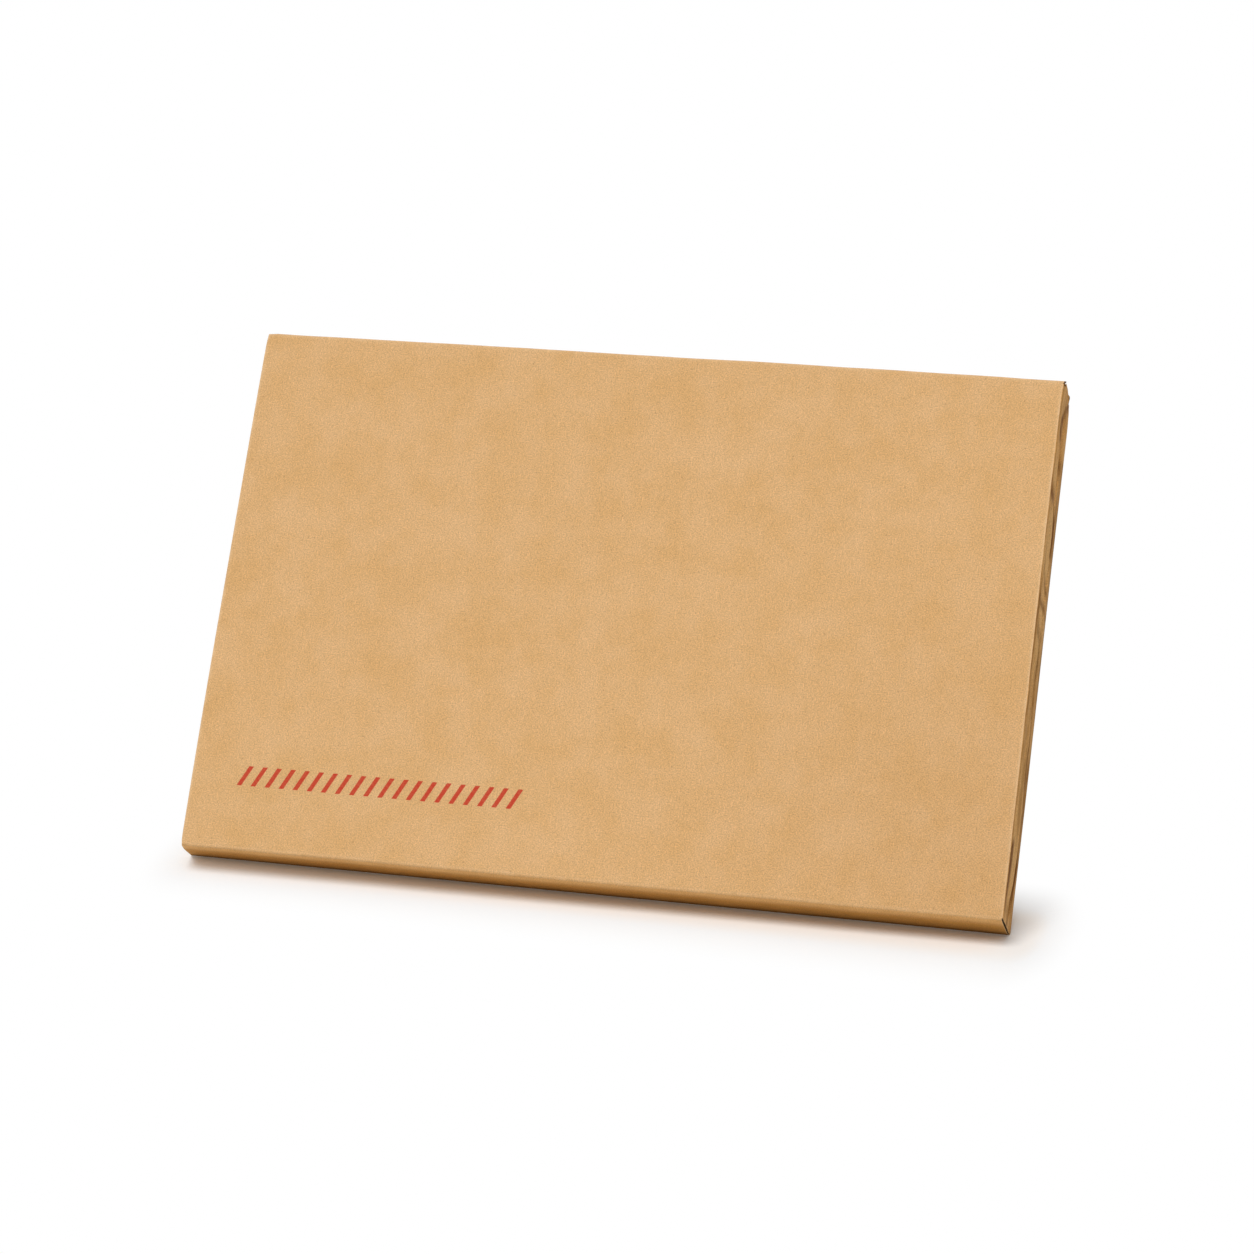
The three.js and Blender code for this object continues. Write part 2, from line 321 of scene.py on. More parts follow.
def stretched(tree, place, scale, turn=0.0):
    """The place, scaled differently along each axis, so that a noise read there runs out into streaks."""
    inputs = {"Vector": place, "Rotation": (0, turn, 0), "Scale": scale}
    return add(tree, "Mapping", inputs).outputs["Vector"]


def fibres(tree, place, turns, seed):
    """Thin streaks that lie in two directions across the sheet."""
    streaks = [cloudy(tree, stretched(tree, place, (1900, 1900, 300), turn), 1.0, 1.5, 0.5, seed + turn)
               for turn in turns]
    return maths(tree, "MAXIMUM", *streaks)


def flecks(tree, place, scale, share, channel, size):
    """Small spots in a share of the cells of one pattern."""
    cells = add(tree, "TexVoronoi", {"Vector": place, "Scale": scale})
    lot = add(tree, "SeparateXYZ", {0: cells.outputs["Color"]}).outputs[channel]
    spot = between(tree, cells.outputs["Distance"], *size)
    return maths(tree, "MULTIPLY", maths(tree, "LESS_THAN", lot, share), spot)


def from_crease(tree, place):
    """How far a point of the folded sheet is from the nearest crease, in metres."""
    middle = Vector(((LEFT + RIGHT) / 2, DEPTH / 2, HEIGHT / 2))
    half = Vector(((RIGHT - LEFT) / 2, DEPTH / 2, HEIGHT / 2))
    spread = vector_maths(tree, "ABSOLUTE", vector_maths(tree, "SUBTRACT", place, middle))
    x, y, z = add(tree, "SeparateXYZ", {0: vector_maths(tree, "SUBTRACT", spread, half)}).outputs
    lower = maths(tree, "MINIMUM", x, y)
    upper = maths(tree, "MAXIMUM", x, y)
    second = maths(tree, "MAXIMUM", lower, maths(tree, "MINIMUM", upper, z))
    return maths(tree, "MULTIPLY", second, -1.0)


print("paper patterns ready")

# %% Grain and rubbed folds
PULP_CONTRAST, FLOC_CONTRAST, FIBRE_CONTRAST = 1.0, 0.14, 0.12


def pulp_and_fibres(tree, place, grain):
    """The height of the pulp with its fibres, and how much lighter or darker they make the paper."""
    pulp, flocs = cloudy(tree, place, 1900, 1.0, 0.5, 7.0), cloudy(tree, place, 620, 2.0, 0.5, 9.0)
    pale_fibres, dark_fibres = fibres(tree, place, (0.75, -0.7), 10), fibres(tree, place, (0.1, -1.2), 20)
    height = maths(tree, "ADD", pulp, maths(tree, "MULTIPLY", pale_fibres, 0.7))
    light = maths(tree, "MULTIPLY", maths(tree, "SUBTRACT", pulp, 0.5), PULP_CONTRAST * grain)
    for value, contrast in ((maths(tree, "SUBTRACT", flocs, 0.5), FLOC_CONTRAST),
                            (between(tree, pale_fibres, 0.58, 0.8), FIBRE_CONTRAST),
                            (between(tree, dark_fibres, 0.6, 0.82), -FIBRE_CONTRAST)):
        light = maths(tree, "ADD", light, maths(tree, "MULTIPLY", value, contrast * grain))
    return height, maths(tree, "ADD", light, 1.0)


def rubbed_folds(tree, place):
    """How pale the folds are worn: an even line along each crease, and patchy scuffs beside it."""
    off = from_crease(tree, place)
    patchy = between(tree, cloudy(tree, place, 150, 3.0, 0.6, 3.0), 0.3, 0.7)
    line = maths(tree, "MULTIPLY", between(tree, off, 1.1 * MM, 0.3 * MM), 0.3)
    beside = between(tree, off, 2.0 * MM, 0.4 * MM)
    scuffs = maths(tree, "MULTIPLY", beside, maths(tree, "MULTIPLY", patchy, 0.3))
    return maths(tree, "ADD", line, scuffs)


print("grain and rubbed folds ready")

# %% Kraft paper
def relief(tree, height, strength, depth, over=None):
    """The normal of a surface with a shallow relief, over another normal if there is one."""
    inputs = {"Height": height, "Strength": strength, "Distance": depth}
    if over is not None:
        inputs["Normal"] = over
    return add(tree, "Bump", inputs).outputs["Normal"]


BLUSH, BARK, RUBBED = tone(228, 181, 126), tone(158, 112, 64), tone(244, 210, 168)


def kraft(name, pale, deep, wear=1.0, grain=1.0):
    """Kraft paper of two tones, with pale rubbed folds where wear is above zero."""
    made, tree, shader = new_material(name)
    place = stored_place(tree)
    clouds = between(tree, cloudy(tree, place, 48, 5.0, 0.65, 1.0), 0.3, 0.7)
    blush = between(tree, cloudy(tree, place, 210, 3.0, 0.6, 4.0), 0.4, 0.7)
    colour = blended(tree, maths(tree, "MULTIPLY", blush, 0.25), blended(tree, clouds, pale, deep), BLUSH)
    height, light = pulp_and_fibres(tree, place, grain)
    colour = vector_maths(tree, "MULTIPLY", colour, light)
    specks = flecks(tree, place, 420, 0.12, 0, (0.2, 0.08))
    colour = blended(tree, maths(tree, "MULTIPLY", specks, 0.35), colour, BARK)
    colour = blended(tree, maths(tree, "MULTIPLY", rubbed_folds(tree, place), wear), colour, RUBBED)
    fill(tree, shader, {"Base Color": colour, "Roughness": scaled(tree, height, 0.92, 0.78, 0.5, 1.2),
                        "Specular IOR Level": 0.2, "Normal": relief(tree, height, 0.6, 0.05 * MM)})
    return made


FRONT_PALE, FRONT_DEEP = tone(222, 179, 128), tone(215, 169, 112)
SIDE_PALE, SIDE_DEEP = tone(218, 170, 111), tone(207, 158, 99)
kraft_side = kraft("kraft_side", SIDE_PALE, SIDE_DEEP)
kraft_inside = kraft("kraft_inside", tone(220, 180, 132), tone(206, 163, 112), wear=0.0)
kraft_cut = kraft("kraft_cut_edge", tone(226, 188, 134), tone(210, 168, 114), wear=0.0, grain=1.5)
KRAFT = [kraft_side, kraft_inside, kraft_cut]  # a sheet's outer face, its inner face and its cut edge
print("kraft materials:", ", ".join(made.name for made in KRAFT))

# %% [markdown]
# The bottom wall's colour carries painted light and shade. Beside its front crease it is painted lighter,
# a painted highlight that rounds the fold. Towards the crease that the envelope stands on it is painted
# deeper and warmer, as shade, and along that crease nearly dark, as the shade where it meets the floor.
# Near the mouth it is painted a touch deeper in tone, as shade, and so is the lower corner of the front.
# A tip of the top wall is painted dark brown, as the shade of a gap. Each mark multiplies the paper's
# colour, so that the grain still shows through it.

# %% Kraft with painted light and shade
def reopened(made):
    """A finished material's node tree, its shader and the colour that it has so far."""
    shader = made.node_tree.nodes["Principled BSDF"]
    return made.node_tree, shader, shader.inputs["Base Color"].links[0].from_socket


def painted(made, share, paint_factor):
    """Multiplies a material's colour by a painted light or shade, as far as the share goes."""
    tree, shader, paper = reopened(made)
    painted_colour = vector_maths(tree, "MULTIPLY", paper, paint_factor)
    fill(tree, shader, {"Base Color": blended(tree, share, paper, painted_colour)})


kraft_foot = kraft("kraft_foot", SIDE_PALE, SIDE_DEEP, wear=0.5)
tree = kraft_foot.node_tree
x, back_along, _ = add(tree, "SeparateXYZ", {0: stored_place(tree)}).outputs
# Painted light and shade on the bottom wall: lighter beside its front crease, warmer and deeper towards the crease
# it stands on, a touch deeper near the mouth, and dark along the crease it stands on
painted_fold_light = maths(tree, "MULTIPLY", between(tree, back_along, -0.3 * MM, 1.4 * MM),
               between(tree, back_along, 8.5 * MM, 3 * MM))
painted_warm_shade = between(tree, back_along, 2.5 * MM, 11 * MM)
painted_mouth_shade = maths(tree, "MULTIPLY", between(tree, x, -100 * MM, RIGHT),
                between(tree, back_along, 7 * MM, 13 * MM))
painted_contact_shade = between(tree, back_along, DEPTH - 5 * MM, DEPTH)
for share, paint_factor in ((painted_fold_light, (1.26, 1.24, 1.12)), (painted_warm_shade, (0.96, 0.81, 0.48)),
                     (painted_mouth_shade, (0.86, 0.86, 0.82)), (painted_contact_shade, (0.45, 0.40, 0.35))):
    painted(kraft_foot, share, paint_factor)
# A near-black kraft that paints the shade of a gap, for the top wall's tip
kraft_gap_shade = kraft("kraft_gap_shade", tone(84, 48, 24), tone(60, 30, 12), wear=0.0)
print("stained kraft:", kraft_foot.name, kraft_gap_shade.name)

# %% [markdown]
# The paper of the mouth has been folded to and fro before it settled. Streaks run along it, made by one
# noise stretched along the spine, which darkens the paper and lifts its relief. The few deep folds are
# pressed into the mesh further down, and there each vertex gets a share of painted shade, which deepens
# the paper's colour where shade falls in a fold. Above one, that share paints it nearly black, as deep
# shade.

# %% Creased kraft
# Streaks, then painted shade in the folds, then nearly black painted shade on the darkest rims
STREAKED, FOLD_SHADE_TONE, DEEP_SHADE_TONE = tone(160, 112, 56), tone(118, 69, 20), tone(46, 22, 10)


def crease(made):
    """Adds the streaks of repeated folding, and the painted shade of its folds, to a kraft material."""
    tree, shader, colour = reopened(made)
    flat = shader.inputs["Normal"].links[0].from_socket
    streaks = cloudy(tree, stretched(tree, stored_place(tree), (60, 300, 34)), 1.0, 4.0, 0.6, 31.0)
    dark_streaks = maths(tree, "MULTIPLY", between(tree, streaks, 0.54, 0.36), 0.55)
    # The share of painted shade that each vertex of the spine stores
    fold_shade = add(tree, "Attribute", attribute_name="fold_shade").outputs["Fac"]
    uneven = scaled(tree, streaks, 1.0, 0.7, 0.35, 0.65)
    for share, shade in ((dark_streaks, STREAKED),
                         (maths(tree, "MULTIPLY", fold_shade, uneven, clamp=True), FOLD_SHADE_TONE),
                         (maths(tree, "SUBTRACT", fold_shade, 1.0, clamp=True), DEEP_SHADE_TONE)):
        colour = blended(tree, share, colour, shade)
    fill(tree, shader, {"Base Color": colour, "Normal": relief(tree, streaks, 0.8, 0.5 * MM, over=flat)})


kraft_creased = kraft("kraft_creased", tone(231, 181, 115), tone(218, 161, 90), wear=0.0)
crease(kraft_creased)
print("creased kraft ready")

# %% [markdown]
# The lower left of the front carries a strip of plain slanted bars in red ink. It is print and not a
# piece, so it is a mask in the paper's own material: an even row of bars, cut off by a window whose edges
# are a little furry where the ink has crept along the fibres.

# %% Printed bars
BARS_LEFT, BARS_RIGHT = -143 * MM, -28 * MM
BARS_FOOT, BARS_HEAD = 26 * MM, 34 * MM
BAR_PITCH, BAR_SHARE, BAR_SLANT = 5.75 * MM, 0.34, 0.5
INK_CREEP = 0.10 * MM
INK = tone(196, 50, 34)


def print_bars(made):
    """Adds the strip of red bars to a kraft material."""
    tree, shader, paper = reopened(made)
    place = stored_place(tree)
    creep = cloudy(tree, place, 2600, 2.0, 0.6, 21.0)
    creep = maths(tree, "MULTIPLY", maths(tree, "SUBTRACT", creep, 0.5), 4 * INK_CREEP)
    x, _, z = add(tree, "SeparateXYZ", {0: place}).outputs
    slanted = maths(tree, "SUBTRACT", x, maths(tree, "MULTIPLY", z, BAR_SLANT))
    phase = maths(tree, "PINGPONG", slanted, BAR_PITCH / 2)
    edge = BAR_PITCH * BAR_SHARE / 2
    inside = between(tree, maths(tree, "ADD", phase, creep), edge + INK_CREEP, edge - INK_CREEP)
    for value, low, high in ((x, BARS_LEFT, BARS_RIGHT), (z, BARS_FOOT, BARS_HEAD)):
        off = maths(tree, "ABSOLUTE", maths(tree, "SUBTRACT", value, (low + high) / 2))
        window = between(tree, maths(tree, "ADD", off, creep), (high - low) / 2 + INK_CREEP,
                         (high - low) / 2 - INK_CREEP)
        inside = maths(tree, "MULTIPLY", inside, window)
    thin = between(tree, cloudy(tree, place, 900, 2.0, 0.6, 25.0), 0.2, 0.7)
    inked = maths(tree, "MULTIPLY", inside, scaled(tree, thin, 0.82, 0.96))
    fill(tree, shader, {"Base Color": blended(tree, inked, paper, INK)})


kraft_printed = kraft("kraft_printed", FRONT_PALE, FRONT_DEEP)
tree = kraft_printed.node_tree
# The lower corner of the front by the mouth gets a painted shade, a touch deeper in tone
from_corner = add(tree, "VectorMath", {0: stored_place(tree), 1: (RIGHT, 0, 0)}, operation="DISTANCE")
painted(kraft_printed, between(tree, from_corner.outputs["Value"], 170 * MM, 0), (0.93, 0.91, 0.89))
print_bars(kraft_printed)
print("bars from", BARS_LEFT / MM, "to", BARS_RIGHT / MM, "mm")

# %% [markdown]
# Greyboard is pressed from recycled fibre: a grey-brown ground full of flecks of other papers. Its cut
# edge shows the layers it was pressed from. The flecks come from the same helper as the bark in the
# kraft, once for each kind of paper.

# %% Greyboard
BOARD_FLECKS = (  # scale, share of the cells, and colour
    (420, 0.14, tone(112, 100, 88)),
    (300, 0.08, tone(206, 200, 190)),
    (520, 0.05, tone(96, 112, 134)),
)
greyboard, tree, shader = new_material("greyboard")
place = stored_place(tree)
colour = blended(tree, between(tree, cloudy(tree, place, 60, 4.0, 0.6), 0.35, 0.65),
                 tone(170, 162, 151), tone(150, 141, 130))
for scale, share, fleck in BOARD_FLECKS:
    spots = flecks(tree, place, scale, share, 1, (0.26, 0.14))
    colour = blended(tree, maths(tree, "MULTIPLY", spots, 0.7), colour, fleck)
layers = cloudy(tree, stretched(tree, place, (200, 7000, 200)), 1.0, 2.0, 0.5)
pressed = maths(tree, "MULTIPLY", between(tree, layers, 0.4, 0.8), 0.5)
height = maths(tree, "ADD", cloudy(tree, place, 1500, 3.0, 0.6), layers)
fill(tree, shader, {"Base Color": blended(tree, pressed, colour, tone(140, 131, 120)), "Roughness": 0.92,
                    "Specular IOR Level": 0.2, "Normal": relief(tree, height, 0.5, 0.08 * MM)})
print("greyboard with", len(BOARD_FLECKS), "kinds of flecks")

# %% [markdown]
# Three thin finishes are left. The gum is a dried, glassy line. The peel-and-seal adhesive is a milky,
# glossy film with the fine ribs of its coating roller. The liner over it is white siliconed paper, which
# has a satin face and a faint cloudy look. They differ only in numbers, so one function makes all three.

# %% Gum, adhesive and liner
def coated(name, pale, deep, scale, gloss, depth, stretch=(1, 1, 1)):
    """A thin coated layer: a tone that drifts, a roughness that varies, and a shallow relief."""
    made, tree, shader = new_material(name)
    place = stored_place(tree)
    ribs = cloudy(tree, stretched(tree, place, stretch), scale, 3.0, 0.55, 2.0)
    fill(tree, shader, {"Base Color": blended(tree, between(tree, ribs, 0.3, 0.7), pale, deep),
                        "Roughness": scaled(tree, cloudy(tree, place, 90, 2.0), *gloss),
                        "Normal": relief(tree, ribs, 0.6, depth)})
    return made


dried_gum = coated("dried_gum", tone(234, 222, 190), tone(214, 196, 152), 420, (0.3, 0.55), 0.08 * MM)
adhesive_film = coated("adhesive_film", tone(244, 240, 226), tone(232, 224, 200), 500, (0.15, 0.35),
                       0.03 * MM, stretch=(4, 1, 0.15))
siliconed_liner = coated("siliconed_liner", tone(242, 241, 236), tone(232, 230, 224), 260, (0.32, 0.45),
                         0.02 * MM)
print("coatings:", dried_gum.name, adhesive_film.name, siliconed_liner.name)

# %% [markdown]
# Real paper isn't a perfect box. Panels bow by a fraction of a millimetre, creases waver, corners are
# pressed in, and the free flap springs up a little. The front crease of the foot is rounder than the
# others, and the foot itself lies a little twisted along the floor. These small movements are one
# function of a point's place. Two pieces that meet along an edge are moved alike there, so no gap opens
# between them.

# %% How the folded paper lies
PANEL_BOW = 0.35 * MM
CREASE_WAVER = 0.22 * MM
EDGE_BOW = 0.4 * MM
FOOT_ROUNDING, ROUND_REACH = 0.32 * MM, 2.1 * MM  # the foot's front crease is pressed in this far
MOUTH_PULL = 0.6 * MM  # the mouth's end is this much narrower towards its head
CORNER_PRESS, CORNER_REACH = 0.5 * MM, 2.2 * MM
FLAP_SPRING = 1.3 * MM
FOOT_SHIFT, FOOT_TWIST = 0.55 * MM, 2.4 * MM  # how far the foot's back crease lies off, and how unevenly
ALONG_FLOOR = Vector((0, towards_back.y, towards_head.y))


def ease(value, low, high):
    """A smooth rise from zero at low to one at high."""
    share = min(max((value - low) / (high - low), 0.0), 1.0)
    return share * share * (3 - 2 * share)


def drift(place, length, seed):
    """Slow random movement between about -1 and 1, with waves of that length."""
    return noise.noise(place / length + Vector((seed, 2 * seed, 3 * seed)))


def settle(place):
    """Where a point of the perfectly folded sheet lies on the real one."""
    x, y, z = place
    moved = place.copy()
    # The front bows and its long creases waver
    front = 1 - ease(y, 1 * MM, 9 * MM)
    moved.y += front * PANEL_BOW * drift(place, 75 * MM, 1.7)
    near_foot = (1 - ease(z, 0, 14 * MM)) * (1 - ease(y, 10 * MM, 20 * MM))
    near_head = ease(z, HEIGHT - 14 * MM, HEIGHT)
    for near, seed in ((near_foot, 4.1), (near_head, 6.3)):
        moved.z += near * CREASE_WAVER * drift(place, 26 * MM, seed)
        moved.y += near * front * CREASE_WAVER * drift(place, 15 * MM, seed + 1)
    # The head and the closed end bow outwards
    middle_x = 1 - (2 * x / (RIGHT - LEFT)) ** 2
    middle_z = 1 - (2 * z / HEIGHT - 1) ** 2
    moved.z += near_head * EDGE_BOW * max(middle_x, 0)
    moved.x -= (1 - ease(x, LEFT, LEFT + 20 * MM)) * EDGE_BOW * max(middle_z, 0)
    # The mouth is narrower towards its head
    released = ease(z, HEIGHT - 6 * MM, HEIGHT) * (1 - ease(y, 14 * MM, 20 * MM))
    pinched = ease(z, HEIGHT - 14 * MM, HEIGHT) * ease(y, 17 * MM, 22 * MM)
    narrowed = MOUTH_PULL * (ease(z, 0, 170 * MM) + 0.5 * (pinched - released)) - 0.1 * MM
    moved.x -= ease(x, RIGHT - 60 * MM, RIGHT) * narrowed
    # The corners of the closed end are pressed in, and the foot's front crease is rounded
    for corner_z in (0, HEIGHT):
        to_corner = Vector((LEFT - x, 0, corner_z - z))
        press = CORNER_PRESS * math.exp(-((to_corner.length / CORNER_REACH) ** 2)) * front
        moved += Vector((press, press, press if corner_z == 0 else -press)) / 2
    rounded = FOOT_ROUNDING * (1 - ease(math.hypot(y, z), 0.2 * MM, ROUND_REACH))
    moved += Vector((0, rounded, rounded)) * math.sqrt(0.5)
    # The foot lies twisted along the floor, and the free flap springs up
    twisted = (FOOT_SHIFT - FOOT_TWIST * 2 * x / (RIGHT - LEFT)) * (1 - ease(z, 0, 80 * MM))
    moved += ALONG_FLOOR * twisted * max(y / DEPTH, 0)
    lifted = max(FLAP_CREASE - x, 0) / (FLAP_CREASE - sizes["seal_flap"][0].x)
    moved.y += ease(y, DEPTH, DEPTH + 0.2 * MM) * FLAP_SPRING * min(lifted, 1.2) ** 2
    return moved


print("front's middle moves to", settle(Vector((0, 0, HEIGHT / 2))))

# %% [markdown]
# Each panel of the blank is a strip with a rounded crease along one side. A strip starts as a row of
# edges on the neighbouring panel. The row is extruded along a section, a short list of corners, and at
# each inner corner it is spun through the bend instead. That is how the paper itself is made: it is never
# welded from plates, it is carried round.

# %% Folding a strip round its section
# Where a strip's own directions (along, outward, back) point in the upright frame
AT_FOOT = Matrix(((1, 0, 0, 0), (0, 0, 1, 0), (0, -1, 0, 0), (0, 0, 0, 1)))
AT_HEAD = Matrix(((1, 0, 0, 0), (0, 0, 1, 0), (0, 1, 0, HEIGHT), (0, 0, 0, 1)))
AT_CLOSED_END = Matrix(((0, -1, 0, LEFT), (0, 0, 1, 0), (1, 0, 0, 0), (0, 0, 0, 1)))
AT_MOUTH = Matrix(((0, 1, 0, RIGHT), (0, 0, 1, 0), (1, 0, 0, 0), (0, 0, 0, 1)))


def carry(bm, row, move, cell):
    """Extrudes a row of edges by a move, in cells, and returns the last row."""
    steps = max(1, round(move.length / cell))
    for _ in range(steps):
        made = bmesh.ops.extrude_edge_only(bm, edges=row)["geom"]
        verts = [g for g in made if isinstance(g, bmesh.types.BMVert)]
        bmesh.ops.translate(bm, verts=verts, vec=move / steps)
        row = [g for g in made if isinstance(g, bmesh.types.BMEdge) and all(v in verts for v in g.verts)]
    return row


def folded_strip(stand, start, end, section, set_backs, cell=CELL):
    """A strip whose creases run from start to end, put where stand says. Its section lists (outward, back)
    corners, and set_backs says how far from each inner corner its bend starts."""
    bm = bmesh.new()
    corners = [Vector((0, *point)) for point in section]
    ends = [bm.verts.new(corners[0] + Vector((a, 0, 0))) for a in (start, end)]
    bm.edges.new(ends)
    cuts = max(1, round((end - start) / cell)) - 1
    bmesh.ops.subdivide_edges(bm, edges=bm.edges[:], cuts=cuts)
    row = bm.edges[:]
    at = corners[0]
    for corner_at, after, set_back in zip(corners[1:], corners[2:], set_backs):
        way_in = (corner_at - at).normalized()
        way_out = (after - corner_at).normalized()
        straight = corner_at - way_in * set_back - at
        if straight.length > 0.01 * MM:
            row = carry(bm, row, straight, cell)
        turn = math.atan2(way_in.cross(way_out).x, way_in.dot(way_out))
        radius = set_back / math.tan(turn / 2)  # negative in a valley, where the centre is outside
        centre = corner_at - way_in * set_back + Vector((0, -way_in.z, way_in.y)) * radius
        verts = list(dict.fromkeys(v for edge in row for v in edge.verts))
        made = bmesh.ops.spin(bm, geom=verts + row, cent=centre, axis=(1, 0, 0), angle=turn,
                              steps=max(2, round(abs(turn) / 0.2)))
        row = [g for g in made["geom_last"] if isinstance(g, bmesh.types.BMEdge)]
        at = corner_at + way_out * set_back
    carry(bm, row, corners[-1] - at, cell)
    bmesh.ops.transform(bm, matrix=stand, verts=bm.verts)
    return bm


print("folding ready, in cells of", CELL / MM, "mm")

# %% [markdown]
# A real blank is cut by a steel rule. Here a plane does it: `cut` throws away what lies outward of a
# plane, and `score` only adds a row of points along one. A rounded corner is a few such cuts along an
# arc. The panels are sheets without thickness until then, because one face is easier to cut than a plate.

# %% Cutting and rounding a sheet
def cut(bm, point, outward, faces=None):
    """Cuts the sheet by a plane and throws away what is on its outward side."""
    chosen = bm.faces[:] if faces is None else faces
    geom = list(dict.fromkeys(g for face in chosen for g in (face, *face.edges, *face.verts)))
    bmesh.ops.bisect_plane(bm, geom=geom, plane_co=point, plane_no=outward, clear_outer=True, dist=1e-7)


def score(bm, axis, *places):
    """Cuts the sheet's faces along planes across one axis and throws nothing away."""
    normal = Vector([float(i == axis) for i in range(3)])
    for at in places:
        bmesh.ops.bisect_plane(bm, geom=bm.verts[:] + bm.edges[:] + bm.faces[:], plane_co=normal * at,
                               plane_no=normal, dist=1e-7)


def middle_between(bm, axis, low, high):
    """The faces whose middles lie between two places on one axis."""
    return [face for face in bm.faces if low < face.calc_center_median()[axis] < high]


def round_off(bm, tip, before, after, radius, steps=5):
    """Rounds the corner at tip, whose edges run towards before and after, with cuts along an arc."""
    one, other = (before - tip).normalized(), (after - tip).normalized()
    half = one.angle(other) / 2
    centre = tip + (one + other).normalized() * radius / math.sin(half)
    middle = (tip - centre).normalized()
    axis = one.cross(other).normalized()
    sweep = math.pi / 2 - half
    for i in range(steps):
        outward = Matrix.Rotation(sweep * (2 * (i + 0.5) / steps - 1), 3, axis) @ middle
        cut(bm, centre + outward * radius, outward)


print("cutting tools ready")

# %% [markdown]
# Every sheet is finished alike. Its place in the folded envelope is stored for the patterns, its points
# settle, it is turned into the lean, and a Solidify modifier gives it thickness inwards, with the inner
# face and the cut edge in their own materials. Then the sheet takes over from its engineering part: it
# rides on the same body, or, where it crosses a crease, it is left where it stands and rides on no body.

# %% Finishing a piece
def away_from_middle(bm):
    """Makes the faces point out of the envelope."""
    bmesh.ops.recalc_face_normals(bm, faces=bm.faces)
    middle = Vector((0, DEPTH / 2, HEIGHT / 2))
    leaning = sum(f.normal.dot(f.calc_center_median() - middle) * f.calc_area() for f in bm.faces)
    if leaning < 0:
        bmesh.ops.reverse_faces(bm, faces=bm.faces)


def finish_sheet(name, bm, materials=KRAFT, thickness=PAPER, body="pocket", across=None):
    """Settles a sheet, turns it into place, gives it its thickness and puts it in for its node.
    It rides on body; when across is given, it is left where it stands with its transform baked, and rides on no
    body. The crease that across gives, as (body, body, upright start, upright end), is not used."""
    bmesh.ops.remove_doubles(bm, verts=bm.verts, dist=1e-7)
    away_from_middle(bm)
    place = bm.verts.layers.float_vector.new("place")
    for v in bm.verts:
        v[place] = v.co
        v.co = settle(v.co)
    for face in bm.faces:
        face.smooth = True
    for edge in bm.edges:
        edge.smooth = not edge.is_boundary
    bmesh.ops.transform(bm, matrix=TO_ROW, verts=bm.verts)
    piece = bpy.data.objects.new(name + "_sheet", bpy.data.meshes.new(name))
    bm.to_mesh(piece.data)
    bm.free()
    for made in materials:
        piece.data.materials.append(made)
    bpy.context.scene.collection.objects.link(piece)
    solid = piece.modifiers.new("thickness", "SOLIDIFY")
    solid.thickness = thickness
    solid.offset = -1
    solid.use_even_offset = True
    solid.material_offset = min(1, len(materials) - 1)
    solid.material_offset_rim = min(2, len(materials) - 1)
    if across:
        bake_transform(piece)
    else:
        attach(piece, body)
    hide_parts(name)
    print(f"{piece.name}: {len(piece.data.polygons)} faces")


print("finishing ready")

# %% [markdown]
# The front panel is the flat part of the front, between its creases. One face would do for a stiff plate,
# but paper bows, so the panel starts as a grid. Scores along the crease lines give it exact borders, and
# the faces that the creases take over are deleted.

# %% Front panel
NOTCH_DEPTH, NOTCH_WIDTH = 0.25 * MM, 2.4 * MM  # in the spine's head, beside its front crease
SHOULDER = SPINE_HEAD - NOTCH_DEPTH
ROUND_SCORES = (1.5 * MM, ROUND_REACH)  # more rows of points, where the foot's front crease is rounder


def upright_grid(centre, width, height, cell):
    """A grid that stands upright, facing the front, round its centre."""
    bm = bmesh.new()
    across, up = max(4, round(width / cell)), max(4, round(height / cell))
    bmesh.ops.create_grid(bm, x_segments=across, y_segments=up, size=0.5)
    stand = Matrix.Translation(centre) @ Matrix.Rotation(math.pi / 2, 4, "X")
    bmesh.ops.transform(bm, matrix=stand @ Matrix.Diagonal((width, height, 1, 1)), verts=bm.verts)
    return bm


def belongs_to_a_crease(place):
    """True for the parts of the grid that the rounded creases take over."""
    at_spine = place.x > RIGHT - MOUTH_SET_BACK and place.z < SHOULDER
    return place.x < LEFT + SET_BACK or not SET_BACK < place.z < HEIGHT - SET_BACK or at_spine


bm = upright_grid(Vector((0, 0, HEIGHT / 2)), RIGHT - LEFT, HEIGHT, CELL)
score(bm, 0, LEFT + SET_BACK, RIGHT - MOUTH_SET_BACK)
score(bm, 2, SET_BACK, *ROUND_SCORES, SHOULDER, HEIGHT - SET_BACK)
extra = [face for face in bm.faces if belongs_to_a_crease(face.calc_center_median())]
bmesh.ops.delete(bm, geom=extra, context="FACES")
finish_sheet("front_panel", bm, [kraft_printed, kraft_inside, kraft_cut])

# %% [markdown]
# The long walls fold back from the front. Each carries the rounded crease that joins it to the front, so
# that the light runs round the fold without a seam. At the closed end the three creases meet, and every
# strip is cut there along the same mitre.

# %% Bottom wall
closed_edge = Vector((-FLARE, 1, 0)).normalized()  # the closed end's corners run back this way
foot_mitre = closed_edge.cross(Vector((1, 0, 1))).normalized()
foot_corner = Vector((LEFT, 0, 0))
past_closed_end = LEFT - FLARE * DEPTH - CELL
FOOT_SET_BACK = 0.2 * MM  # the back crease that the envelope stands on is pressed sharp
FOOT_INSET = 0.6 * MM  # the bottom wall ends this far inside the mouth, and leaves a slit under the spine


def keep_side(bm, point, normal, inside):
    """Cuts by a plane and keeps the side that holds the point inside."""
    cut(bm, point, -normal if normal.dot(inside - point) > 0 else normal)


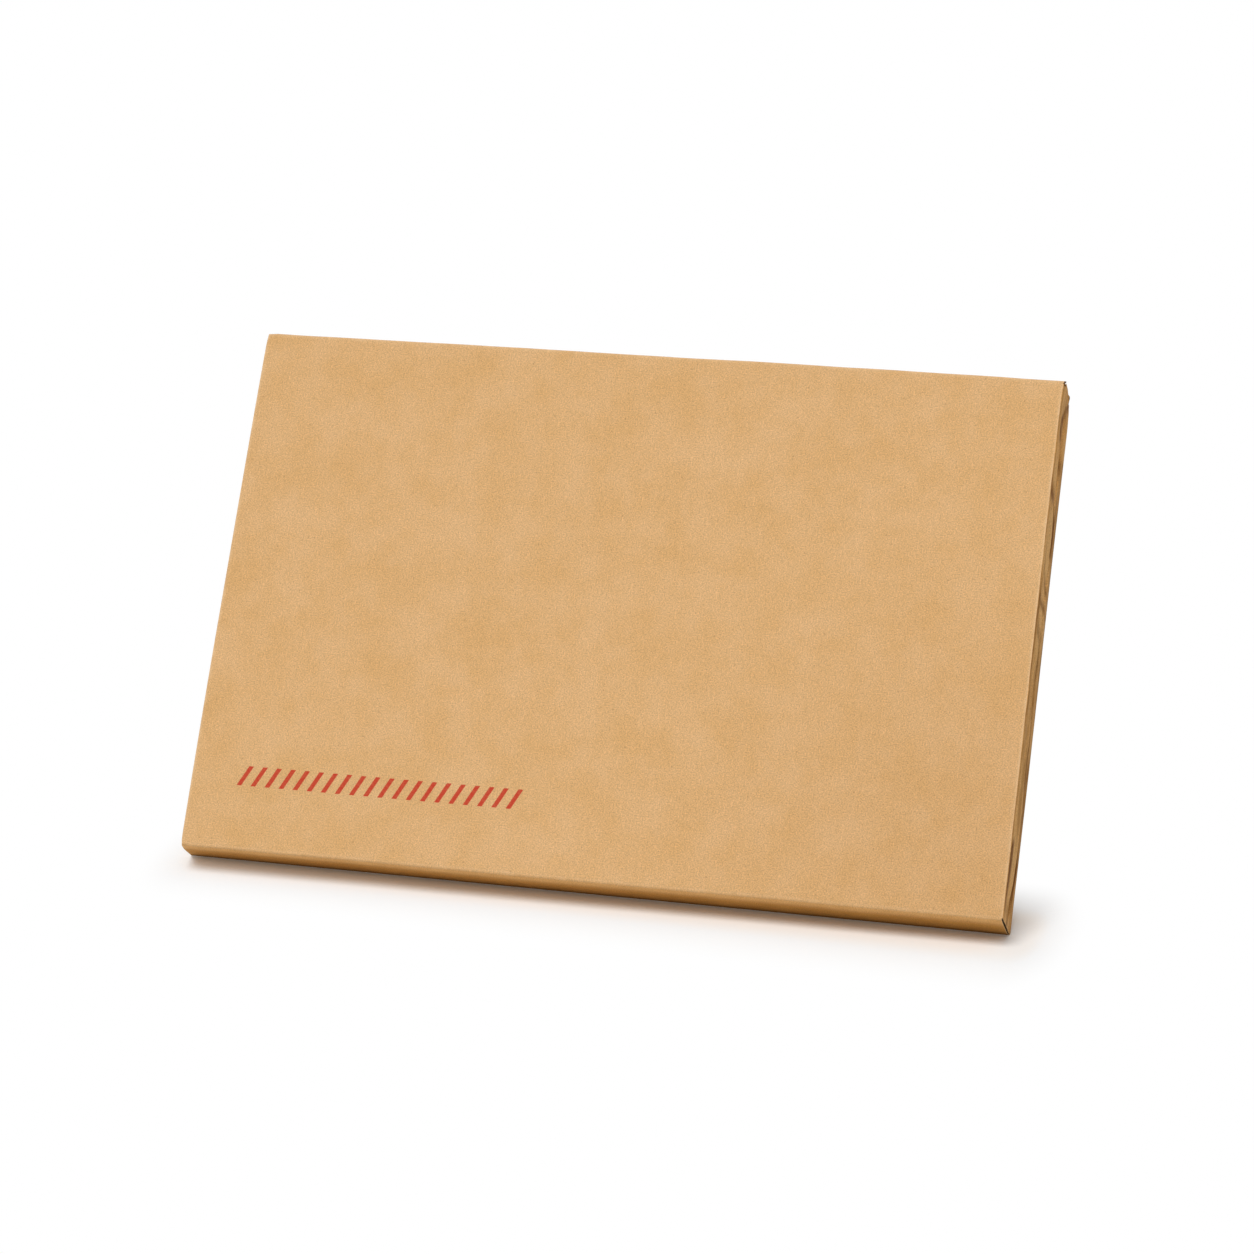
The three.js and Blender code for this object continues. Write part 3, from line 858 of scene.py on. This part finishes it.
bm = folded_strip(AT_FOOT, past_closed_end, RIGHT - FOOT_INSET,
                  [(-SET_BACK, 0), (0, 0), (0, DEPTH - FOOT_SET_BACK)], [SET_BACK])
score(bm, 1, *ROUND_SCORES)
keep_side(bm, foot_corner, foot_mitre, Vector((0, DEPTH / 2, 0)))
finish_sheet("bottom_wall", bm, [kraft_foot, kraft_inside, kraft_cut])

# %% [markdown]
# The top wall ends in a slant at the mouth, so that the spine can swing past it. Beside the front crease
# a small tip of it sticks out, where the paper has been crushed, and droops a little. The tip is painted
# dark brown, as the shade of a gap into the pocket.

# %% Top wall
MOUTH_REACH, MOUTH_SLANT, MOUTH_INSET = 4.5 * MM, 10 * MM, 2.5 * MM  # the slant's start, length and depth
SLANT_END = MOUTH_REACH + MOUTH_SLANT
TIP_DEPTH, TIP_ROOT = 2.2 * MM, 0.2 * MM  # the crushed tip's size, back and along
TIP_OUT, TIP_DROOP = 0.6 * MM, 0.35 * MM
WALL_IN = 0.15 * MM  # behind the tip the wall ends this far inside
head_mitre = closed_edge.cross(Vector((1, 0, -1))).normalized()
head_corner = Vector((LEFT, 0, HEIGHT))
bm = folded_strip(AT_HEAD, past_closed_end, RIGHT,
                  [(-SET_BACK, 0), (0, 0), (0, DEPTH - SET_BACK)], [SET_BACK])
keep_side(bm, head_corner, head_mitre, Vector((0, DEPTH / 2, HEIGHT)))
score(bm, 1, TIP_DEPTH, MOUTH_REACH, SLANT_END)
score(bm, 0, RIGHT - TIP_ROOT)
cut(bm, Vector((RIGHT, MOUTH_REACH, HEIGHT)), Vector((MOUTH_SLANT, MOUTH_INSET, 0)),
    middle_between(bm, 1, MOUTH_REACH, SLANT_END))
cut(bm, Vector((RIGHT - MOUTH_INSET, 0, HEIGHT)), Vector((1, 0, 0)),
    middle_between(bm, 1, SLANT_END, DEPTH))
# The tip's faces take the painted gap shade
for face in middle_between(bm, 1, -1, TIP_DEPTH):
    if face.calc_center_median().x > RIGHT - TIP_ROOT:
        face.material_index = len(KRAFT)
for v in bm.verts:
    y, near = v.co.y, ease(v.co.x, RIGHT - TIP_ROOT, RIGHT)
    v.co.x += near * (TIP_OUT - (TIP_OUT + WALL_IN) * ease(y, 0.9 * MM, TIP_DEPTH))
    v.co.z -= near * TIP_DROOP * ease(y, 0.2 * MM, 1 * MM) * (1 - ease(y, 2.5 * MM, MOUTH_REACH))
finish_sheet("top_wall", bm, [*KRAFT, kraft_gap_shade])

# %% [markdown]
# The closed end slopes outwards towards the back, so its section isn't square. Its strip runs up the whole
# height, and the two mitres that cut the long walls cut it too, so the three creases meet in one point.

# %% Closed end wall
back_corner = Vector((FLARE * DEPTH, DEPTH))
wall_end = back_corner - back_corner.normalized() * SET_BACK
bm = folded_strip(AT_CLOSED_END, 0, HEIGHT, [(-SET_BACK, 0), (0, 0), tuple(wall_end)], [SET_BACK])
score(bm, 1, *ROUND_SCORES)
end_middle = Vector((LEFT, DEPTH / 2, HEIGHT / 2))
keep_side(bm, foot_corner, foot_mitre, end_middle)
keep_side(bm, head_corner, head_mitre, end_middle)
finish_sheet("closed_end_wall", bm)

# %% [markdown]
# A margin of the sheet turns over the back of the board on three sides. These seam flaps are folded
# strips too. Their meeting corners are mitred with a small gap, and their ends at the mouth are cut on
# the slant, which keeps them clear of papers that slide in.

# %% Long seam flaps
SEAM_WIDTH = sizes["bottom_seam_flap"][1].z
SEAM_MOUTH = sizes["bottom_seam_flap"][1].x + 0.25 * MM
SEAM_SQUARE, SEAM_TAPER, SEAM_ROUND = 4 * MM, 4 * MM, 2 * MM  # the mouth's end is square, then slopes in
seam_mitre_start = sizes["bottom_seam_flap"][0].x
for name, stand, edge_z, inward, set_back in (("bottom_seam_flap", AT_FOOT, 0, 1, FOOT_SET_BACK),
                                              ("top_seam_flap", AT_HEAD, HEIGHT, -1, SET_BACK)):
    section = [(0, DEPTH - set_back), (0, DEPTH), (-SEAM_WIDTH, DEPTH)]
    bm = folded_strip(stand, past_closed_end, SEAM_MOUTH, section, [set_back])
    mouth_edge = Vector((SEAM_MOUTH, DEPTH, edge_z + inward * SEAM_SQUARE))
    mouth_tip = Vector((SEAM_MOUTH - SEAM_TAPER, DEPTH, edge_z + inward * SEAM_WIDTH))
    cut(bm, Vector((seam_mitre_start, 0, edge_z)), Vector((-1, 0, inward)))
    cut(bm, mouth_edge, Vector((SEAM_WIDTH - SEAM_SQUARE, 0, inward * SEAM_TAPER)))
    round_off(bm, mouth_tip, mouth_edge, mouth_tip - Vector(((RIGHT - LEFT) / 2, 0, 0)), SEAM_ROUND)
    finish_sheet(name, bm)

# %% Closed end seam flap
section = [tuple(wall_end), tuple(back_corner), (back_corner.x - SEAM_WIDTH, DEPTH)]
bm = folded_strip(AT_CLOSED_END, 0, HEIGHT, section, [SET_BACK])
mitre_gap = sizes["closed_end_seam_flap"][0].z
cut(bm, Vector((LEFT - back_corner.x, 0, mitre_gap)), Vector((1, 0, -1)))
cut(bm, Vector((LEFT - back_corner.x, 0, HEIGHT - mitre_gap)), Vector((1, 0, 1)))
finish_sheet("closed_end_seam_flap", bm)

# %% [markdown]
# The spine closes the mouth. It has been folded and handled most, so its section isn't flat: beside the
# sharp front edge lies a pressed groove, then a slightly hollow band, a valley, and a back band that
# stands proud. Spinning can only make straight bends, so the strip is folded with a straight valley
# first. Then its points are pushed towards the back or the front, and the valley wanders along its length
# as the real one.

# %% Flap spine, its section
SPINE_END = FLAP_BACK - MOUTH_SET_BACK
PROUD = sizes["flap_spine"][1].x - RIGHT
VALLEY = 15 * MM
BAND_START = 3.4 * MM  # behind the groove
FOLD_CELL = 0.8 * MM  # smaller squares, because the folds are narrow
HEAD_RISE, FOOT_FALL = 0.5 * MM, 0.4 * MM  # the paper's head and foot reach this much further
spine_section = [
    (-MOUTH_SET_BACK, 0),
    (0.1 * MM, 0),
    (-0.5 * MM, 1.6 * MM),
    (0.15 * MM, BAND_START),
    (-0.2 * MM, 8 * MM),
    (0.15 * MM, VALLEY - 1.5 * MM),
    (-1.1 * MM, VALLEY),
    (0.35 * MM, VALLEY + 1.3 * MM),
    (0.1 * MM, 19.5 * MM),
    (PROUD, SPINE_END),
]
spine_bends = [MOUTH_SET_BACK, 0.6 * MM, 0.4 * MM, 0.5 * MM, 0.5 * MM, 0.3 * MM, 0.5 * MM, 0.5 * MM]
bm = folded_strip(AT_MOUTH, SPINE_FOOT - FOOT_FALL, SPINE_HEAD + HEAD_RISE, spine_section, spine_bends,
                  FOLD_CELL)
print("spine starts with", len(bm.faces), "faces")

# %% Flap spine, its valley
# Places up the spine, and how far back the valley runs there, as a share of the depth
VALLEY_PATH = ((0.0, 0.52), (0.03, 0.67), (0.09, 0.83), (0.14, 0.86), (0.29, 0.81), (0.38, 0.73),
               (0.44, 0.63), (0.53, 0.64), (0.58, 0.63), (0.72, 0.75), (0.8, 0.62), (0.87, 0.7),
               (1.0, 0.62))
HEAD_CALM = 12 * MM  # the hollows end this far below the head
RIDGE_LENGTH, RIDGE = 60 * MM, 0.3 * MM  # low ridges that run up the bands


def valley_at(z):
    """How far back the valley runs at a height, in metres."""
    share = z / HEIGHT
    for (low, first), (high, second) in zip(VALLEY_PATH, VALLEY_PATH[1:]):
        if share <= high:
            return DEPTH * (first + (second - first) * ease(share, low, high))
    return DEPTH * VALLEY_PATH[-1][1]


for v in bm.verts:
    x, y, z = v.co
    if y > BAND_START:
        fold = valley_at(z)
        if y < VALLEY:
            v.co.y = BAND_START + (y - BAND_START) * (fold - BAND_START) / (VALLEY - BAND_START)
        elif y < SPINE_END:
            v.co.y = SPINE_END - (SPINE_END - y) * (SPINE_END - fold) / (SPINE_END - VALLEY)
    inner = ease(y, 1 * MM, 4 * MM) * (1 - ease(y, 19 * MM, SPINE_END))
    ridges = abs(drift(Vector((0, v.co.y * 14, z)), RIDGE_LENGTH, 8.2))
    v.co.x += inner * RIDGE * (1 - 4 * ridges)
    v.co.x -= (v.co.x - RIGHT) * ease(z, SPINE_HEAD - HEAD_CALM, SPINE_HEAD - HEAD_CALM / 3) * inner
print("valley from", valley_at(0) / MM, "to", valley_at(HEIGHT) / MM, "mm behind the front")

# %% [markdown]
# The sharp folds cross the spine at all angles. Each is a path of a few corners: how high up the spine,
# and how far back as a share of its depth. A point near a path is pushed in, and its paper gets painted
# shade; the two paths along the front and back edges push nothing in and only paint shade. The paths are
# shaken a little and their painted shade comes and goes, so that none looks ruled.

# %% Flap spine, its folds
# The third column is how strong the painted shade in a fold is
FOLDS = (  # half width, depth and dullness, then the path's corners (height in mm, share of the depth)
    (4.0 * MM, 0.40 * MM, 1.05, ((212, 0.92), (206, 0.64), (201, 0.40))),
    (3.4 * MM, 0.25 * MM, 0.75, ((199, 0.28), (190, 0.56), (184, 0.70), (178, 0.85), (165, 0.82))),
    (4.0 * MM, 0.40 * MM, 1.05, ((174, 0.06), (170, 0.30), (166, 0.62), (157, 0.83), (148, 0.72))),
    (3.0 * MM, 0.25 * MM, 0.75, ((140, 0.30), (134, 0.62), (131, 0.88))),
    (2.8 * MM, 0.20 * MM, 0.70, ((127, 0.10), (126, 0.55), (124, 0.92))),
    (4.0 * MM, 0.40 * MM, 1.00, ((117, 0.30), (114, 0.62), (94, 0.63), (82, 0.72), (62, 0.81), (50, 0.86))),
    (3.4 * MM, 0.30 * MM, 0.95, ((44, 0.84), (30, 0.88), (19, 0.85), (7, 0.68), (1, 0.53))),
    (4.2 * MM, 0.55 * MM, 1.10, ((29, 0.17), (6, 0.15))),
    (2.4 * MM, 0.00 * MM, 0.75, ((213, 0.03), (0, 0.03))),
    (2.6 * MM, 0.00 * MM, 0.70, ((186, 1.0), (2, 1.0))),
)


def off_path(place, corners):
    """How far a point of the spine is from a path, in metres."""
    at = Vector((place.y, place.z))
    nearest = 1.0
    for (low, first), (high, second) in zip(corners, corners[1:]):
        start, end = Vector((first * DEPTH, low * MM)), Vector((second * DEPTH, high * MM))
        share = min(max((at - start).dot(end - start) / (end - start).length_squared, 0), 1)
        nearest = min(nearest, (at - start.lerp(end, share)).length)
    return nearest


FOLD_SHAKE, SHAKE_LENGTH = 1.6 * MM, 12 * MM
# Both are of the painted shade along a fold
MEAN_STRENGTH, UNEVEN = 0.92, 0.5  # of the dullness along a fold
fold_shade = bm.verts.layers.float.new("fold_shade")
for v in bm.verts:
    pushed, v[fold_shade] = 0.0, 0.0
    to_the_back, up = drift(v.co, SHAKE_LENGTH, 12.4), drift(v.co, SHAKE_LENGTH, 15.8)
    shaken = v.co + FOLD_SHAKE * Vector((0, to_the_back, up))
    strength = MEAN_STRENGTH + UNEVEN * drift(v.co, SHAKE_LENGTH, 18.1)
    for half_width, fold_depth, fold_shade_share, corners in FOLDS:
        near = 1 - ease(off_path(shaken, corners), 0, half_width)
        pushed = max(pushed, near * fold_depth)
        v[fold_shade] = max(v[fold_shade], near * fold_shade_share * strength)
    v.co.x -= pushed * ease(v.co.y, 0, 1.2 * MM)
print(len(FOLDS), "folds pressed in")

# %% [markdown]
# The spine's head is worn by use: a small notch beside the front crease, then an edge that runs down
# towards the back with a step in it, where the two layers of the fold part and stand out. The rims of the
# notch and of the step are painted nearly black, as the shade of the gaps there. At the foot the paper
# lies flat again, and its edge is a shallow arch.

# %% Flap spine, its head and foot
HEAD_SLOPE, BACK_SLOPE = 0.9 * MM, 1.0 * MM  # how far the edge runs down before the step and behind it
STEP_PLACE, STEP = 14.5 * MM, 0.1 * MM
FRONT_PROUD, BACK_PROUD = 0.35 * MM, 0.6 * MM  # how far the two layers stand out at the head
HEAD_FLARE = 7 * MM  # they start to, this far below it
# The dark rims are painted shade
DARK_STEP, DARK_NOTCH = 2.4 * MM, 1.2 * MM  # how far down the dark rims reach
FOOT_ARCH, FOOT_DROP = 0.25 * MM, 0.35 * MM
ARCH_REACH, FOOT_CALM = 8 * MM, 7 * MM
notch_end = PAPER + NOTCH_WIDTH
head = SPINE_HEAD + HEAD_RISE
back_head = head - HEAD_SLOPE - STEP
score(bm, 1, notch_end, STEP_PLACE)
cut(bm, Vector((RIGHT, 0, SHOULDER)), Vector((0, 0, 1)), middle_between(bm, 1, -1, notch_end))
cut(bm, Vector((RIGHT, notch_end, head)), Vector((0, HEAD_SLOPE, STEP_PLACE - notch_end)),
    middle_between(bm, 1, notch_end, STEP_PLACE))
cut(bm, Vector((RIGHT, STEP_PLACE, back_head)), Vector((0, BACK_SLOPE, SPINE_END - STEP_PLACE)),
    middle_between(bm, 1, STEP_PLACE, 1))
for v in bm.verts:
    x, y, z = v.co
    flared = ease(z, back_head - HEAD_FLARE, back_head)
    behind = ease(y, STEP_PLACE - 0.5 * MM, STEP_PLACE + 0.3 * MM)
    v.co.x += BACK_PROUD * flared * behind * (1 - ease(y, 19.5 * MM, 22.5 * MM))
    in_front = ease(y, 1 * MM, 3.5 * MM) * (1 - 0.5 * ease(y, 8 * MM, 13 * MM)) * (1 - behind)
    v.co.x += FRONT_PROUD * flared * in_front
    step_rim = ease(z, back_head - DARK_STEP, back_head) * behind * (1 - ease(y, 18 * MM, 21 * MM))
    notch_rim = ease(z, SHOULDER - DARK_NOTCH, SHOULDER) * (1 - ease(y, 2.2 * MM, 3.4 * MM))
    # The rims of the step and the notch get the deepest painted shade
    v[fold_shade] = max(v[fold_shade], 2 * step_rim, 2 * notch_rim)
    calm = (1 - ease(z, SPINE_FOOT, SPINE_FOOT + FOOT_CALM)) * ease(y, 0.3 * MM, 1.2 * MM)
    v.co.x += calm * (RIGHT - v.co.x) * (1 - ease(y, 19 * MM, SPINE_END))
    arched = math.sin(math.pi * min(max(y / DEPTH, 0), 1)) * FOOT_ARCH
    dropped = ease(y, 0.8 * DEPTH, DEPTH) * FOOT_DROP
    v.co.z += (arched - dropped) * (1 - ease(z, SPINE_FOOT - FOOT_FALL, SPINE_FOOT + ARCH_REACH))
finish_sheet("flap_spine", bm, [kraft_creased, kraft_inside, kraft_cut],
             across=("pocket", "spine", Vector((RIGHT - MOUTH_SET_BACK, 0, HEIGHT / 2)),
                     Vector((RIGHT, MOUTH_SET_BACK, HEIGHT / 2))))

# %% [markdown]
# The seal flap folds from the spine over the back. Its ends slope in and its two tips are rounded, so it
# slides in and out without catching. Like the spine, it carries its crease.

# %% Seal flap
FLAP_SLOPE, TIP_RADIUS = 22 * MM, 6 * MM
# The settled crease lies up to this far inside its own place, so the crease given with the flap starts there
MOST_NARROWED = 0.8 * MM
flap_low, flap_high = sizes["seal_flap"]
flap_section = [(PROUD, SPINE_END), (PROUD, FLAP_BACK), (flap_low.x - RIGHT, FLAP_BACK)]
bm = folded_strip(AT_MOUTH, flap_low.z, flap_high.z, flap_section, [MOUTH_SET_BACK])
for crease_z, inward in ((flap_low.z, 1), (flap_high.z, -1)):
    root = Vector((FLAP_CREASE, FLAP_BACK, crease_z))
    tip = Vector((flap_low.x, FLAP_BACK, crease_z + inward * FLAP_SLOPE))
    cut(bm, root, Vector((-FLAP_SLOPE, 0, -inward * (FLAP_CREASE - flap_low.x))))
    round_off(bm, tip, root, Vector((flap_low.x, FLAP_BACK, HEIGHT / 2)), TIP_RADIUS)
bend_start = Vector((FLAP_CREASE - MOST_NARROWED, SPINE_END, HEIGHT / 2))
bend_end = bend_start + Vector((-MOUTH_SET_BACK, FLAP_BACK - SPINE_END, 0))
finish_sheet("seal_flap", bm, across=("spine", "flap", bend_start, bend_end))

# %% [markdown]
# The board is a flat sheet with crisp die-cut edges, only a little broken at the corners. The thin strips
# are flat too, but never ruled with a knife: gum creeps, and film and liner are slit from a roll. Boxes
# would do, if their edges were all straight. So each starts as a grid, whose border can wander.

# %% Board, gum, adhesive and liner
def lay_flat(node, material, cell=CELL, wander=0.0, corner_radius=0.0, body="pocket"):
    """Puts a flat grid in for a node, on its back face, its edges wandering by up to wander."""
    low, high = sizes[node]
    bm = upright_grid(Vector(((low.x + high.x) / 2, high.y, (low.z + high.z) / 2)), high.x - low.x,
                      high.z - low.z, cell)
    if corner_radius:
        corners = [Vector((x, high.y, z)) for x, z in
                   ((low.x, low.z), (high.x, low.z), (high.x, high.z), (low.x, high.z))]
        for i, tip in enumerate(corners):
            round_off(bm, tip, corners[i - 1], corners[(i + 1) % 4], corner_radius)
    for v in bm.verts:
        if wander and v.is_boundary:
            v.co.x += wander * drift(v.co, 6 * MM, 3.3)
            v.co.z += wander * drift(v.co, 6 * MM, 5.9)
    finish_sheet(node, bm, [material], high.y - low.y, body)


lay_flat("backing_board", greyboard, corner_radius=0.6 * MM)
for gum_line in ("bottom_gum_line", "top_gum_line", "closed_end_gum_line"):
    lay_flat(gum_line, dried_gum, cell=1.5 * MM, wander=0.9 * MM, corner_radius=2 * MM)
lay_flat("adhesive_strip", adhesive_film, wander=0.15 * MM, body="flap")
lay_flat("release_liner", siliconed_liner, corner_radius=0.8 * MM, body="flap")
